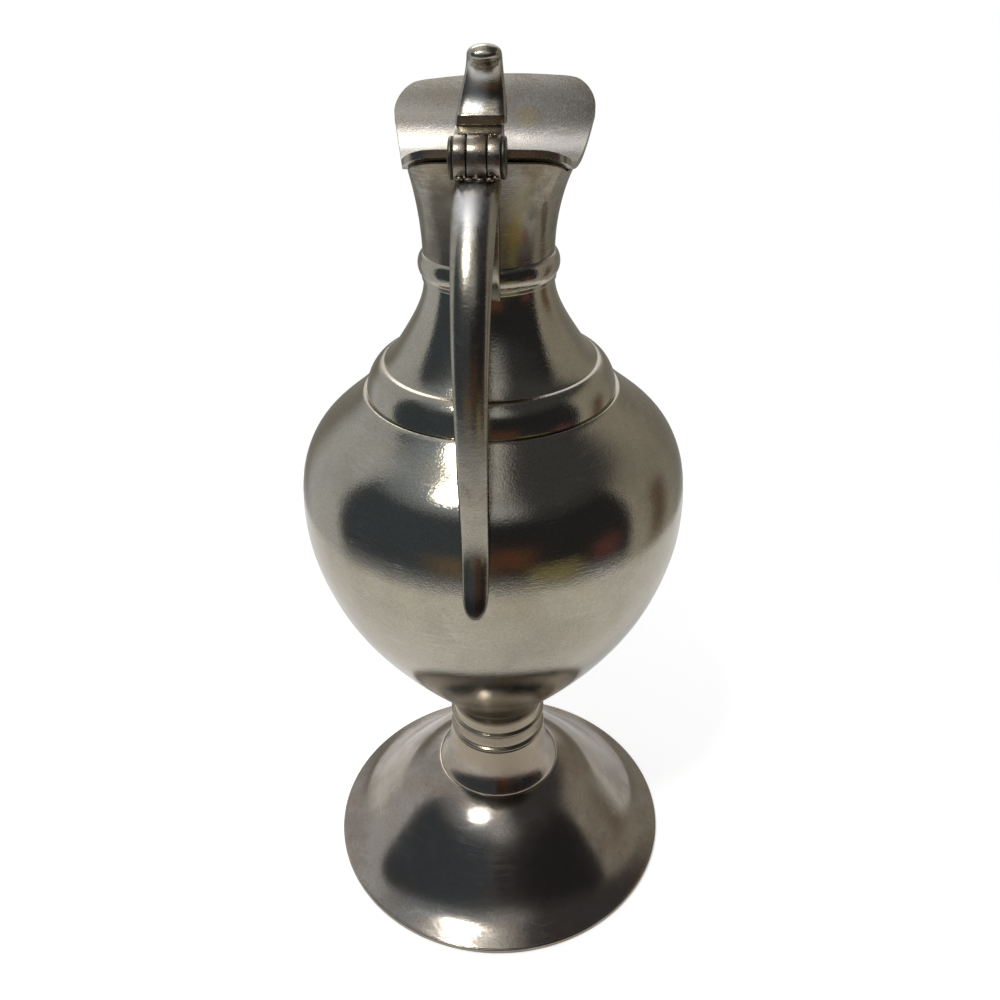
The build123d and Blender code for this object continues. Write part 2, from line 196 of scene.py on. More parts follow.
def wornPewterGroup():
    # dull and warm patches, specks, fine scratches and grain, all in millimetres of the real piece
    group, given, out = startGroup(
        "wornPewter",
        [("Bright", "colour"), ("Dull", "colour"), ("Warm", "colour"), ("Dull Share", "number"),
         ("Warm Share", "number"), ("Patch Size", "number"), ("Specks", "number"), ("Scratches", "number"),
         ("Polish", "number"), ("Polish Spread", "number")],
        [("Colour", "colour"), ("Roughness", "number"), ("Height", "number")],
    )
    where = millimetres(group, (-1700, -500))
    sized = addNode(group, "ShaderNodeVectorMath", (-1300, -300), operation="SCALE")
    group.links.new(where, sized.inputs[0])
    group.links.new(reckon(group, (-1480, -300), "DIVIDE", 1.0, given["Patch Size"]), sized.inputs["Scale"])
    dullCloud = cloud(group, (-1100, 0), sized.outputs[0], (1, 1, 1), 6.0)
    warmCloud = cloud(group, (-1100, -320), sized.outputs[0], (0.6, 0.6, 0.8), 5.0, move=(7.3, 2.1, 4.4))
    mottle = cloud(group, (-1100, -640), where, (0.9, 0.9, 0.9), 4.0)
    grain = cloud(group, (-1100, -960), where, (2.8, 2.8, 2.8), 2.0)
    scratchedCloud = cloud(group, (-1100, -2300), where, (0.12, 0.12, 0.12), 3.0, move=(2, 9, 3))

    dull = fade(group, (-650, 0), dullCloud, *wear["dullEdge"])
    dull = reckon(group, (-450, 0), "MULTIPLY", dull, given["Dull Share"])
    warm = fade(group, (-650, -320), warmCloud, *wear["warmEdge"])
    warm = reckon(group, (-450, -320), "MULTIPLY", warm, given["Warm Share"])
    speck = fade(group, (-450, -640), mottle, *wear["speckEdge"])
    speck = reckon(group, (-100, -640), "MULTIPLY", speck, given["Specks"])
    scratches = fade(group, (-450, -2300), scratchedCloud, *wear["scratchedEdge"])
    scratches = reckon(group, (-100, -1300), "MULTIPLY", scratchLines(group, where), scratches)
    scratches = reckon(group, (100, -1300), "MULTIPLY", scratches, given["Scratches"])

    colour = blendColour(group, (100, 0), dull, given["Bright"], given["Dull"])
    colour = blendColour(group, (300, 0), warm, colour, given["Warm"])
    shade = fade(group, (300, -400), grain, 0.25, 0.75, *wear["grainShade"])
    colour = blendColour(group, (500, 0), 1.0, colour, shade, "MULTIPLY")
    colour = blendColour(group, (700, 0), speck, colour, wear["speckColour"])
    shown = reckon(group, (500, -1300), "MULTIPLY", scratches, wear["scratchShow"])
    colour = blendColour(group, (900, 0), shown, colour, wear["scratchColour"])

    uneven = reckon(group, (900, -900), "SUBTRACT", grain, 0.5)
    rough = reckon(group, (500, -700), "MULTIPLY_ADD", dull, given["Polish Spread"], given["Polish"])
    rough = reckon(group, (700, -700), "MULTIPLY_ADD", speck, wear["speckRough"], rough)
    rough = reckon(group, (900, -700), "MULTIPLY_ADD", scratches, wear["scratchRough"], rough)
    rough = reckon(group, (1100, -700), "MULTIPLY_ADD", uneven, wear["grainRough"], rough)

    depth = reckon(group, (700, -1300), "MULTIPLY", scratches, wear["scratchDepth"])
    height = reckon(group, (900, -1300), "SUBTRACT", grain, depth)
    height = reckon(group, (1100, -1300), "MULTIPLY_ADD", mottle, wear["speckHeight"], height)
    group.links.new(colour, out["Colour"])
    group.links.new(rough, out["Roughness"])
    group.links.new(height, out["Height"])
    return group


def makeStainAndPaintedLightSpot():
    # a ragged soft spot at one place of a piece, used both for real stains and for painted highlights and
    # painted shade
    group, given, out = startGroup(
        "stainAndPaintedLightSpot",
        [("Place", "place"), ("Reach", "place"), ("Softness", "number"), ("Ragged", "number"),
         ("Strength", "number")],
        [("Mask", "number")],
    )
    where = millimetres(group, (-1700, -400))
    offset = addNode(group, "ShaderNodeVectorMath", (-1300, 0), operation="SUBTRACT")
    share = addNode(group, "ShaderNodeVectorMath", (-1120, 0), operation="DIVIDE")
    away = addNode(group, "ShaderNodeVectorMath", (-940, 0), operation="LENGTH")
    group.links.new(where, offset.inputs[0])
    group.links.new(given["Place"], offset.inputs[1])
    group.links.new(offset.outputs[0], share.inputs[0])
    group.links.new(given["Reach"], share.inputs[1])
    group.links.new(share.outputs[0], away.inputs[0])
    mottle = cloud(group, (-1100, -400), where, (0.7, 0.7, 0.7), 4.0)
    uneven = reckon(group, (-700, -400), "SUBTRACT", mottle, 0.5)
    edge = reckon(group, (-500, 0), "MULTIPLY_ADD", uneven, given["Ragged"], away.outputs["Value"])
    low = reckon(group, (-300, -200), "SUBTRACT", 1.0, given["Softness"])
    shape = fade(group, (-100, 0), edge, low, 1.0, 1.0, 0.0)
    group.links.new(reckon(group, (100, 0), "MULTIPLY", shape, given["Strength"]), out["Mask"])
    return group


wornPewter = wornPewterGroup()
stainAndLightSpotGroup = makeStainAndPaintedLightSpot()


def pewter(name, look):
    material = bpy.data.materials.new(name)
    material.use_nodes = True
    tree = material.node_tree
    metal = tree.nodes["Principled BSDF"]
    metal.location = (1400, 0)
    metal.inputs["Metallic"].default_value = 1.0
    worn = addNode(tree, "ShaderNodeGroup", (-300, 0), node_tree=wornPewter)
    for label in ("Bright", "Dull", "Warm"):
        worn.inputs[label].default_value = (*look[label.lower()], 1)
    worn.inputs["Dull Share"].default_value, worn.inputs["Warm Share"].default_value = look["shares"]
    worn.inputs["Patch Size"].default_value = look["patch"]
    worn.inputs["Specks"].default_value = look["specks"]
    worn.inputs["Scratches"].default_value = look["scratches"]
    worn.inputs["Polish"].default_value, worn.inputs["Polish Spread"].default_value = look["polish"]
    colour, rough, shine = worn.outputs["Colour"], worn.outputs["Roughness"], None
    # each entry blends a stain, a painted highlight or a painted shade into the metal's colour
    for k, (*shape, tint, dulled, bare) in enumerate(look.get("stainsAndPaintedLight", ())):
        column = 200 * k
        spot = addNode(tree, "ShaderNodeGroup", (column - 100, -500), node_tree=stainAndLightSpotGroup)
        for label, value in zip(("Place", "Reach", "Softness", "Ragged", "Strength"), shape):
            spot.inputs[label].default_value = value
        mask = spot.outputs["Mask"]
        colour = blendColour(tree, (column + 100, 100), mask, colour, (*tint, 1))
        rough = reckon(tree, (column + 100, -200), "MULTIPLY_ADD", mask, dulled, rough)
        if bare < 1:
            shine = reckon(tree, (column + 100, -800), "MULTIPLY_ADD", mask, bare - 1.0, shine or 1.0)
    tree.links.new(colour, metal.inputs["Base Color"])
    tree.links.new(rough, metal.inputs["Roughness"])
    if shine:
        tree.links.new(shine, metal.inputs["Metallic"])
    bump = addNode(tree, "ShaderNodeBump", (1200, -400), Strength=look["grain"], Distance=wear["grainHeight"])
    tree.links.new(worn.outputs["Height"], bump.inputs["Height"])
    tree.links.new(bump.outputs[0], metal.inputs["Normal"])
    return material


metals = {
    "foot_metal": {
        "bright": (0.4, 0.358, 0.305), "dull": (0.28, 0.245, 0.2), "warm": (0.33, 0.245, 0.18),
        "shares": (0.7, 0.5), "patch": 9.0, "specks": 0.2, "scratches": 0.3,
        "polish": (0.14, 0.1), "grain": 0.7,
        # stains and painted light: middle, reach, softness, raggedness, strength, colour, roughness added,
        # metal left
        "stainsAndPaintedLight": [
            ((0, 0, 37.0), (60, 60, 10.0), 0.3, 0.3, 0.7, (0.38, 0.32, 0.23), 0.05, 1.0),
            # painted shade: a darker ring in the joint of knop and foot, standing in for the dark reflection
            # there
            ((0, 0, 21.6), (19, 19, 1.6), 0.8, 0.5, 0.55, (0.15, 0.12, 0.095), 0.06, 1.0),
            ((11.7, -7.0, 27.8), (1.0, 1.0, 1.0), 0.5, 0.5, 0.8, (0.07, 0.055, 0.045), 0.2, 0.7),
        ],
    },
    "body_metal": {
        "bright": (0.45, 0.415, 0.335), "dull": (0.35, 0.322, 0.26), "warm": (0.4, 0.335, 0.23),
        "shares": (0.6, 0.4), "patch": 14.0, "specks": 0.15, "scratches": 0.5,
        "polish": (0.11, 0.1), "grain": 1.0,
    },
    "mouth_metal": {
        "bright": (0.32, 0.285, 0.225), "dull": (0.17, 0.148, 0.11), "warm": (0.25, 0.19, 0.105),
        "shares": (0.8, 0.7), "patch": 6.0, "specks": 0.3, "scratches": 0.7,
        "polish": (0.2, 0.16), "grain": 0.6,
        "stainsAndPaintedLight": [
            ((5.4, -10.9, 157.5), (1.9, 3.0, 6.4), 0.8, 0.9, 0.7, (0.36, 0.26, 0.08), 0.05, 1.0),
            ((7.1, -10.2, 156.4), (1.0, 2.0, 2.8), 0.8, 0.9, 0.55, (0.24, 0.1, 0.07), 0.1, 1.0),
            ((6.2, -11.5, 162.5), (3.4, 3.0, 5.5), 0.8, 0.9, 0.6, (0.36, 0.31, 0.2), 0.1, 1.0),
            ((10.2, -8.4, 159.5), (0.7, 2.0, 9.0), 0.5, 0.8, 0.6, (0.07, 0.06, 0.045), 0.1, 1.0),
            ((-7.2, -11.0, 160.0), (3.2, 3.6, 9.0), 0.7, 0.6, 0.75, (0.15, 0.135, 0.105), 0.08, 1.0),
        ],
    },
    "handle_metal": {
        "bright": (0.4, 0.37, 0.3), "dull": (0.27, 0.245, 0.195), "warm": (0.3, 0.22, 0.15),
        "shares": (0.7, 0.4), "patch": 8.0, "specks": 0.25, "scratches": 0.5,
        "polish": (0.2, 0.12), "grain": 0.8,
        "stainsAndPaintedLight": [
            ((0, -43.5, 100.5), (9, 9, 5.4), 0.6, 0.4, 0.8, (0.1, 0.085, 0.075), 0.1, 1.0),
            # painted highlight: near-white metal colour along the handle's top, under the hinge
            ((-0.6, -25.5, 167.0), (3.6, 9.5, 9.5), 0.7, 0.5, 0.9, (0.92, 0.91, 0.89), 0.14, 1.0),
            # painted highlight: near-white metal colour on the thumbpiece's face towards the handle
            ((-0.3, -15.5, 181.0), (2.6, 3.5, 5.5), 0.8, 0.5, 0.8, (0.85, 0.84, 0.81), 0.12, 1.0),
        ],
    },
    "hinge_metal": {
        "bright": (0.33, 0.295, 0.24), "dull": (0.2, 0.175, 0.13), "warm": (0.26, 0.2, 0.13),
        "shares": (0.9, 0.6), "patch": 3.0, "specks": 0.5, "scratches": 0.4,
        "polish": (0.24, 0.16), "grain": 1.0,
        "stainsAndPaintedLight": [
            ((-4.3, -18.8, 171.1), (0.75, 9, 9), 0.4, 0.2, 0.85, (0.11, 0.1, 0.08), 0.12, 1.0),
            ((4.3, -18.8, 171.1), (0.75, 9, 9), 0.4, 0.2, 0.85, (0.11, 0.1, 0.08), 0.12, 1.0),
            ((0, -21.0, 168.0), (9, 2.6, 1.1), 0.7, 0.5, 0.8, (0.07, 0.055, 0.045), 0.15, 1.0),
        ],
    },
    "lid_metal": {
        "bright": (0.42, 0.395, 0.35), "dull": (0.3, 0.27, 0.225), "warm": (0.38, 0.33, 0.2),
        "shares": (0.7, 0.4), "patch": 8.0, "specks": 0.2, "scratches": 0.4,
        "polish": (0.17, 0.1), "grain": 1.0,
        "stainsAndPaintedLight": [
            ((6.4, 18.0, 170.6), (3.0, 4.5, 3.0), 0.7, 0.7, 0.45, (0.4, 0.32, 0.16), 0.05, 1.0),
        ],
    },
}
finish = {slot: pewter(slot, look) for slot, look in metals.items()}
print("metals mixed")


# ---- making pieces ----


def shapeToPiece(bm, name, body, slot, nodes=(), smooth=2, angle=None):
    bmesh.ops.remove_doubles(bm, verts=bm.verts, dist=0.000002)
    bmesh.ops.recalc_face_normals(bm, faces=bm.faces)
    if any(e.is_boundary for e in bm.edges):
        # an open sheet round the pot's axis: its faces look away from the axis
        outward = sum(f.normal.xy.dot(f.calc_center_median().xy) for f in bm.faces)
        if outward < 0:
            bmesh.ops.reverse_faces(bm, faces=bm.faces[:])
    mesh = bpy.data.meshes.new(name)
    bm.to_mesh(mesh)
    bm.free()
    mesh.shade_smooth()
    piece = bpy.data.objects.new(name, mesh)
    scene.collection.objects.link(piece)
    piece.data.materials.append(finish[slot])
    if smooth:
        rounder = piece.modifiers.new("Smooth", "SUBSURF")
        rounder.levels = rounder.render_levels = smooth
    if angle:
        mesh.set_sharp_from_angle(angle=math.radians(angle))
    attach(piece, body)
    if nodes:
        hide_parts(*nodes)
    return piece


def spinOutline(bm, outline, steps, closed):
    corners = [bm.verts.new((radius * mm, 0, level * mm)) for radius, level in outline]
    pairs = list(zip(corners, corners[1:]))
    if closed:
        pairs.append((corners[-1], corners[0]))
    edges = [bm.edges.new(pair) for pair in pairs]
    bmesh.ops.spin(
        bm,
        geom=corners + edges,
        cent=(0, 0, 0),
        axis=(0, 0, 1),
        dvec=(0, 0, 0),
        angle=math.tau,
        steps=steps,
        use_merge=True,
        use_normal_flip=False,
        use_duplicate=False,
    )


def spunPiece(name, plan, body, slot, nodes):
    bm = bmesh.new()
    spinOutline(bm, plan["outline"], plan["steps"], plan["closed"])
    return shapeToPiece(bm, name, body, slot, nodes)


# ---- foot ----

footPlan = {
    "outline": [
        (0, 22.4), (12, 22.4), (14.5, 22.4), (14.75, 22.36), (15.2, 22.22), (16.2, 21.8), (17.5, 21.18),
        (18.8, 20.43), (20.0, 19.62), (21.2, 18.72), (22.4, 17.7), (23.6, 16.55), (24.8, 15.3), (26.0, 14.0),
        (27.2, 12.68), (28.4, 11.35), (29.6, 10.03), (30.8, 8.7), (32.0, 7.4), (33.2, 6.17), (34.4, 5.07),
        (35.6, 4.13), (36.8, 3.37), (38.0, 2.77), (39.2, 2.2), (40.3, 1.7), (40.6, 1.56), (40.6, 1.5),
        (39.2, 1.5), (39.1, 1.5), (38.6, 1.5), (37.0, 1.6), (35.0, 2.6), (33.0, 4.0), (31.0, 6.0),
        (28.0, 9.3), (25.0, 12.6), (22.0, 15.6), (19.0, 18.2), (16.0, 20.2), (14.0, 20.9), (12, 21.0),
        (0, 21.0),
    ],
    "steps": 96,
    "closed": False,
}
bandPlan = {
    "outline": [
        (38.8, 0), (38.9, 0), (40.5, 0), (40.75, 0.05), (40.97, 0.4), (41.0, 0.75), (40.97, 1.15),
        (40.8, 1.42), (40.6, 1.5), (38.9, 1.5), (38.8, 1.5), (38.8, 1.4), (38.8, 0.1),
    ],
    "steps": 96,
    "closed": True,
}
knopPlan = {
    "outline": [
        (0, 22.4), (12.5, 22.4), (14.3, 22.4), (14.55, 22.42), (14.6, 22.55), (14.55, 22.8), (14.3, 23.3),
        (13.95, 23.95), (13.5, 24.8), (13.0, 25.85), (12.5, 27.1), (12.08, 28.5), (11.75, 30.0), (11.5, 31.6),
        (11.32, 32.9), (11.2, 33.42), (11.0, 33.5), (10.0, 33.5), (0, 33.5),
    ],
    "steps": 64,
    "closed": False,
}
stemPlan = {
    "outline": [
        (0, 33.5), (10.0, 33.5), (11.1, 33.5), (11.27, 33.6), (11.4, 33.95), (11.3, 34.3), (10.85, 34.55),
        (10.65, 34.7), (10.6, 35.3), (10.6, 36.6), (10.6, 37.6), (10.65, 37.95), (10.95, 38.08),
        (11.27, 38.35), (11.27, 38.75), (10.95, 39.0), (10.65, 39.13), (10.58, 39.5), (10.54, 40.5),
        (10.54, 41.7), (10.8, 43.0), (11.3, 44.2), (11.8, 45.1), (11.88, 45.28), (11.7, 45.3),
        (10.0, 45.3), (0, 45.3),
    ],
    "steps": 64,
    "closed": False,
}
spunPiece("foot", footPlan, "vessel", "foot_metal", ["foot_dome"])
spunPiece("footBand", bandPlan, "vessel", "foot_metal", ["foot_rim_band"])
spunPiece("stemKnop", knopPlan, "vessel", "foot_metal", ["knop"])
spunPiece("stemSpool", stemPlan, "vessel", "foot_metal", ["stem_spool"])
print("foot and stem made")


# ---- body and neck ----

bodyPlan = {
    "outline": [
        (0, 45.3), (11.0, 45.3), (11.75, 45.3), (11.95, 45.42), (12.68, 46.6), (13.9, 48.4), (16.0, 51.0),
        (18.27, 53.7), (20.35, 56.3), (22.44, 59.0), (24.47, 61.7), (26.48, 64.55), (28.43, 67.45),
        (30.29, 70.4), (32.02, 73.4), (33.6, 76.45), (35.0, 79.55), (36.22, 82.8), (37.25, 86.05),
        (38.14, 89.35), (38.82, 92.7), (39.2, 96.1), (39.32, 99.5), (39.26, 102.0), (39.07, 104.55),
        (38.7, 107.05), (38.1, 109.5), (37.2, 111.9), (36.0, 114.15), (34.45, 116.2), (32.6, 118.0),
        (30.65, 119.6), (28.7, 121.15), (26.9, 122.75), (26.1, 123.55), (25.62, 124.05),
        (25.2, 124.42), (24.85, 124.52), (24.6, 124.4),
        (22.6, 124.4), (22.55, 124.2), (22.6, 123.0), (24.5, 121.7), (27.6, 119.8), (31.5, 116.9),
        (34.5, 114.0), (36.5, 110.0), (37.4, 106.0), (37.7, 101.0), (37.6, 96.5), (36.6, 90.5),
        (35.0, 84.5), (32.9, 79.5), (29.3, 72.5), (25.5, 66.5), (21.0, 60.2), (16.5, 54.6),
        (13.5, 51.0), (11.6, 48.6), (10.2, 47.6), (8.0, 47.5), (0, 47.5),
    ],
    "steps": 96,
    "closed": False,
}
neckPlan = {
    "outline": [
        (22.65, 124.4), (24.2, 124.4), (24.42, 124.42), (24.45, 124.65), (24.36, 125.3), (24.08, 126.4),
        (23.6, 127.6), (22.95, 128.7), (22.15, 129.6), (21.5, 130.05), (21.05, 130.22), (20.75, 130.24),
        (20.55, 130.3), (20.1, 130.68), (19.3, 131.5), (18.5, 132.5), (17.67, 133.68), (16.84, 134.95),
        (16.0, 136.25), (15.2, 137.55), (14.42, 138.9), (13.71, 140.28), (13.08, 141.68), (12.58, 143.12),
        (12.25, 144.62),
        (12.12, 146.1), (12.08, 146.5), (11.95, 148.6), (11.8, 148.7), (10.7, 148.7), (10.6, 148.6),
        (10.6, 146.3), (10.7, 144.8), (11.1, 143.0), (11.9, 140.9), (13.2, 138.5), (15.1, 135.6),
        (17.0, 133.1), (18.8, 130.8), (20.5, 129.1), (22.0, 127.5), (22.6, 125.5), (22.65, 124.5),
    ],
    "steps": 96,
    "closed": True,
}
collarPlan = {
    "outline": [
        (11.95, 146.2), (12.3, 146.2), (12.43, 146.24), (12.46, 146.4), (12.46, 147.0), (12.5, 147.15),
        (12.8, 147.6), (13.08, 148.4), (13.14, 149.2), (13.02, 150.0), (12.7, 150.75), (12.25, 151.12),
        (12.1, 151.2), (11.95, 151.2), (11.95, 151.0), (11.95, 146.4),
    ],
    "steps": 96,
    "closed": True,
}
spunPiece("potBody", bodyPlan, "vessel", "body_metal", ["body_bowl", "body_shoulder"])
spunPiece("neck", neckPlan, "vessel", "body_metal", ["neck_cone"])
spunPiece("neckCollar", collarPlan, "vessel", "body_metal", ["neck_collar"])
print("body and neck made")


# ---- lid outline, shared by the lid and the mouth's rim ----

rimPlan = {
    "half": [  # one side of the lid seen from above, from the back to the lip
        (0, -14.3), (3.35, -14.26), (6.65, -14.16), (9.75, -13.87), (10.98, -13.37), (12.07, -12.6),
        (12.97, -11.6), (13.62, -10.42), (14.0, -9.1), (14.45, -5.66), (14.95, -2.26), (15.5, 1.13),
        (16.1, 4.5), (16.67, 7.87), (17.29, 11.22), (17.95, 14.57), (18.66, 17.91), (18.96, 19.24),
        (18.99, 20.6), (18.66, 21.92), (17.99, 23.1), (17.02, 24.06), (15.83, 24.72), (14.5, 25.03),
        (11.1, 25.31), (7.7, 25.51), (4.29, 25.64), (0, 25.7),
    ],
    "saddleRadius": 30.6,
    "saddleMiddle": (2.5, 197.1),
    "thickness": 1.05,
    "gap": 0.45,
    "overhang": 0.9,
    "shift": 0.4,  # to the right of the handle, as the pot was put together
    "turn": 0.9,
}


def saddleLevel(y, radius):
    middle, level = rimPlan["saddleMiddle"]
    return level - math.sqrt(radius**2 - (y - middle) ** 2)


def smoothOutline(points, inset, parts):
    # a closed curve through the outline's points, moved inwards and listed as points
    curve = bpy.data.curves.new("outline", "CURVE")
    spline = curve.splines.new("BEZIER")
    spline.bezier_points.add(len(points) - 1)
    for spot, (x, y) in zip(spline.bezier_points, points):
        spot.co = (x, y, 0)
        spot.handle_left_type = spot.handle_right_type = "AUTO"
    spline.use_cyclic_u = True
    spline.resolution_u = parts
    holder = bpy.data.objects.new("outline", curve)
    mesh = bpy.data.meshes.new_from_object(holder)
    places = [v.co.copy() for v in mesh.vertices]
    bpy.data.objects.remove(holder)
    bpy.data.curves.remove(curve)
    bpy.data.meshes.remove(mesh)
    moved = []
    for k, place in enumerate(places):
        along = (places[(k + 1) % len(places)] - places[k - 1]).normalized()
        moved.append(Vector((place.x - along.y * inset, place.y + along.x * inset, 0)))
    return moved


rightSide = rimPlan["half"]
leftSide = [(-x, y) for x, y in reversed(rightSide[1:-1])]
rimTurn = Matrix.Rotation(math.radians(rimPlan["turn"]), 2)
wholeRim = [rimTurn @ Vector(place) + Vector((rimPlan["shift"], 0)) for place in rightSide + leftSide]


# ---- mouth ----

mouthPlan = {
    "collarRadius": 12.1,
    "collarLevel": 151.2,
    "steps": 96,
    "rings": (-0.06, 0, 0.12, 0.25, 0.38, 0.51, 0.64, 0.77, 0.89, 0.975, 1.0),  # shares of the height
    "hollow": 2.0,  # of the wall's flare, at the back and sides
    "lipHollow": 1.6,
    "wall": 1.4,
    "rimCreases": (0.8, 0.5),
}


def makeMouth(plan):
    rim = smoothOutline(wholeRim, rimPlan["overhang"], 6)
    rimRadius = rimPlan["saddleRadius"] + rimPlan["thickness"] + rimPlan["gap"]
    rimAngles = [math.atan2(p.y, p.x) % math.tau for p in rim]

    def rimAt(angle):
        # the rim's point in a direction, seen from above
        for k in range(len(rim)):
            low, high = rimAngles[k - 1], rimAngles[k]
            if high < low:
                high += math.tau
            for turned in (angle, angle + math.tau):
                if low <= turned <= high:
                    return rim[k - 1].lerp(rim[k], (turned - low) / (high - low))

    bm = bmesh.new()
    bmesh.ops.create_circle(bm, cap_ends=False, radius=plan["collarRadius"] * mm, segments=plan["steps"])
    ring = bm.verts[:]
    angles = {v: math.atan2(v.co.y, v.co.x) % math.tau for v in ring}
    edges = bm.edges[:]
    for count, share in enumerate(plan["rings"]):
        if count:
            made = bmesh.ops.extrude_edge_only(bm, edges=edges)["geom"]
            raised = [g for g in made if isinstance(g, bmesh.types.BMVert)]
            edges = [g for g in made if isinstance(g, bmesh.types.BMEdge)]
            angles = {v: math.atan2(v.co.y, v.co.x) % math.tau for v in raised}
            ring = raised
        for v in ring:
            angle = angles[v]
            top = rimAt(angle)
            reach = math.hypot(top.x, top.y) - plan["collarRadius"]
            hollow = plan["hollow"] + (plan["lipHollow"] - plan["hollow"]) * max(0, math.sin(angle)) ** 2
            radius = plan["collarRadius"] + reach * max(share, 0) ** hollow
            rise = saddleLevel(top.y, rimRadius) - plan["collarLevel"]
            level = plan["collarLevel"] + rise * share
            v.co = Vector((math.cos(angle) * radius, math.sin(angle) * radius, level)) * mm
    bm.normal_update()
    piece = shapeToPiece(bm, "pouringMouth", "vessel", "mouth_metal", ["mouth"], smooth=0)
    wall = piece.modifiers.new("Wall", "SOLIDIFY")
    wall.thickness = plan["wall"] * mm
    wall.offset = -1
    wall.edge_crease_outer, wall.edge_crease_inner = plan["rimCreases"]
    rounder = piece.modifiers.new("Smooth", "SUBSURF")
    rounder.levels = rounder.render_levels = 2


makeMouth(mouthPlan)
print("mouth made")


# ---- lid ----

lidPlan = {
    "edgeLoop": 0.9,  # width of the band of faces along the edge
    "rows": (-14.0, 0.9, 44),  # first, spacing, how many
    "columns": (-18.0, 3.0, 13),
    "edgeRounding": 0.3,
    "edgeAngle": 50,
}


def makeLid(plan):
    bm = bmesh.new()
    corners = [bm.verts.new(p * mm) for p in smoothOutline(wholeRim, 0, 5)]
    bm.faces.new(corners)
    bmesh.ops.inset_region(bm, faces=bm.faces[:], thickness=plan["edgeLoop"] * mm, use_even_offset=True)
    for cuts, across in ((plan["rows"], Vector((0, 1, 0))), (plan["columns"], Vector((1, 0, 0)))):
        first, spacing, count = cuts
        for k in range(count):
            bmesh.ops.bisect_plane(
                bm,
                geom=bm.verts[:] + bm.edges[:] + bm.faces[:],
                plane_co=across * (first + spacing * k) * mm,
                plane_no=across,
            )
    top = bm.verts[:]
    made = bmesh.ops.extrude_face_region(bm, geom=bm.faces[:], use_keep_orig=True)["geom"]
    under = [g for g in made if isinstance(g, bmesh.types.BMVert)]
    for side, lowered in ((top, 0), (under, rimPlan["thickness"])):
        for v in side:
            v.co.z = saddleLevel(v.co.y / mm, rimPlan["saddleRadius"] + lowered) * mm
    piece = shapeToPiece(bm, "lidPlate", "lid", "lid_metal", ["lid"], smooth=0)
    edge = piece.modifiers.new("Edge", "BEVEL")
    edge.width = plan["edgeRounding"] * mm
    edge.segments = 4
    edge.limit_method = "ANGLE"
    edge.angle_limit = math.radians(plan["edgeAngle"])
    edge.harden_normals = True


makeLid(lidPlan)
print("lid made")


# ---- bars: the handle and the thumbpiece are lofted from rings ----


def loftRings(bm, rings, around):
    # each ring: the middle plane's back and front points, half the width, and how square it is
    loops = []
    for backPoint, frontPoint, halfWidth, square in rings:
        back, front = Vector((0, *backPoint)), Vector((0, *frontPoint))
        middle, reach = (back + front) / 2, (front - back) / 2
        loop = []
        for k in range(around):
            angle = math.tau * k / around
            lift, side = math.cos(angle), math.sin(angle)
            lift = math.copysign(abs(lift) ** square, lift)
            side = math.copysign(abs(side) ** square, side)
            loop.append(bm.verts.new((middle + reach * lift + Vector((halfWidth * side, 0, 0))) * mm))
        loops.append([bm.edges.new((loop[k - 1], loop[k])) for k in range(around)])
    for low, high in zip(loops, loops[1:]):
        bmesh.ops.bridge_loops(bm, edges=low + high)
    for loop in (loops[0], loops[-1]):
        bmesh.ops.holes_fill(bm, edges=loop, sides=0)


# ---- handle ----

handlePlan = {
    "path": [  # back of the mouth to the tail: y, level, width, depth
        (-15.2, 166.1, 7.5, 6.0), (-16.1, 166.11, 7.7, 6.0), (-18.6, 165.95, 7.7, 5.9),
        (-21.2, 165.5, 7.6, 5.75), (-23.6, 164.6, 7.4, 5.6), (-25.8, 163.33, 7.2, 5.45),
        (-29.75, 160.11, 6.9, 5.15),
        (-33.1, 156.24, 6.55, 4.9), (-35.78, 151.89, 6.2, 4.7), (-37.76, 147.17, 5.95, 4.5),
        (-39.03, 142.22, 5.7, 4.35), (-39.68, 137.14, 5.5, 4.25), (-39.88, 132.03, 5.35, 4.15),
        (-39.79, 126.91, 5.3, 4.05), (-39.54, 121.79, 5.2, 3.95), (-39.2, 116.7, 5.1, 3.9),
        (-39.1, 111.0, 5.0, 3.8), (-40.1, 107.6, 4.9, 3.7), (-41.1, 105.0, 4.75, 3.55),
        (-42.0, 102.8, 4.5, 3.3), (-42.9, 101.6, 3.95, 2.8), (-43.5, 100.85, 3.1, 2.2),
        (-43.9, 100.4, 2.1, 1.5), (-44.1, 100.15, 1.0, 0.8),
    ],
    "around": 20,
    "square": 0.9,
    "shift": -0.3,  # the casting sits a little to the left of the hinge
}


def makeHandle(plan):
    path = plan["path"]
    rings = []
    for k, (y, level, width, depth) in enumerate(path):
        before, after = path[max(k - 1, 0)], path[min(k + 1, len(path) - 1)]
        along = Vector((after[0] - before[0], after[1] - before[1])).normalized()
        across = Vector((-along.y, along.x)) * depth / 2
        outer = (y - across.x, level - across.y)
        inner = (y + across.x, level + across.y)
        rings.append((outer, inner, width / 2, plan["square"]))
    bm = bmesh.new()
    loftRings(bm, rings, plan["around"])
    bmesh.ops.translate(bm, vec=(plan["shift"] * mm, 0, 0), verts=bm.verts)
    shapeToPiece(bm, "scrollHandle", "vessel", "handle_metal", ["handle"])


makeHandle(handlePlan)
print("handle made")


# ---- plates drawn from the side: the bracket and the strap ----

creaseAngle = 35


def addPlate(bm, side, half):
    corners = [bm.verts.new(Vector((-half, y, level)) * mm) for y, level in side]
    face = bm.faces.new(corners)
    made = bmesh.ops.extrude_face_region(bm, geom=[face])["geom"]
    farCorners = [g for g in made if isinstance(g, bmesh.types.BMVert)]
    bmesh.ops.translate(bm, vec=(2 * half * mm, 0, 0), verts=farCorners)


